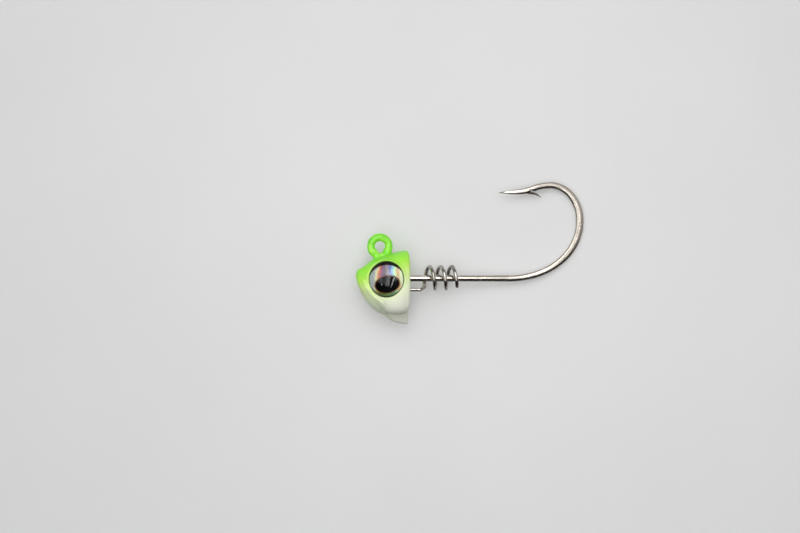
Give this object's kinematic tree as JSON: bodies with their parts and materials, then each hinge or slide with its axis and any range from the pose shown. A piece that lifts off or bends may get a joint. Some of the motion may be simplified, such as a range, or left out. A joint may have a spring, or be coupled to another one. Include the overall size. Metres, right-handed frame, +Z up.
{
  "type": "jig head",
  "caption": "Fishing jig head: painted fish-head lead weight with domed eyes and a line eye, cast on a barbed hook with a screw-lock bait spring round its shank.",
  "frame": {"origin": "on the table under the middle of the lure's box, with the lure lying on its right side", "axes": "+X runs from the nose to the hook's bend, +Y towards the line eye and the hook's point, +Z up from the table"},
  "size_m": [0.051, 0.0316, 0.0109],
  "materials": {
    "head_paint": "gloss",
    "ring_paint": "gloss",
    "hook_wire": "polished",
    "spring_wire": "polished",
    "adhesive": "matte",
    "hologram_film": "polished",
    "clear_epoxy": "gloss"
  },
  "bodies": {
    "root": {"head_casting": "head_paint", "hook": "hook_wire", "line_eye_coat": "ring_paint", "screw_lock_spring": "spring_wire", "eye_left_adhesive": "adhesive", "eye_left_foil": "hologram_film", "eye_left_dome": "clear_epoxy", "eye_right_adhesive": "adhesive", "eye_right_foil": "hologram_film", "eye_right_dome": "clear_epoxy"}
  },
  "joints": []
}
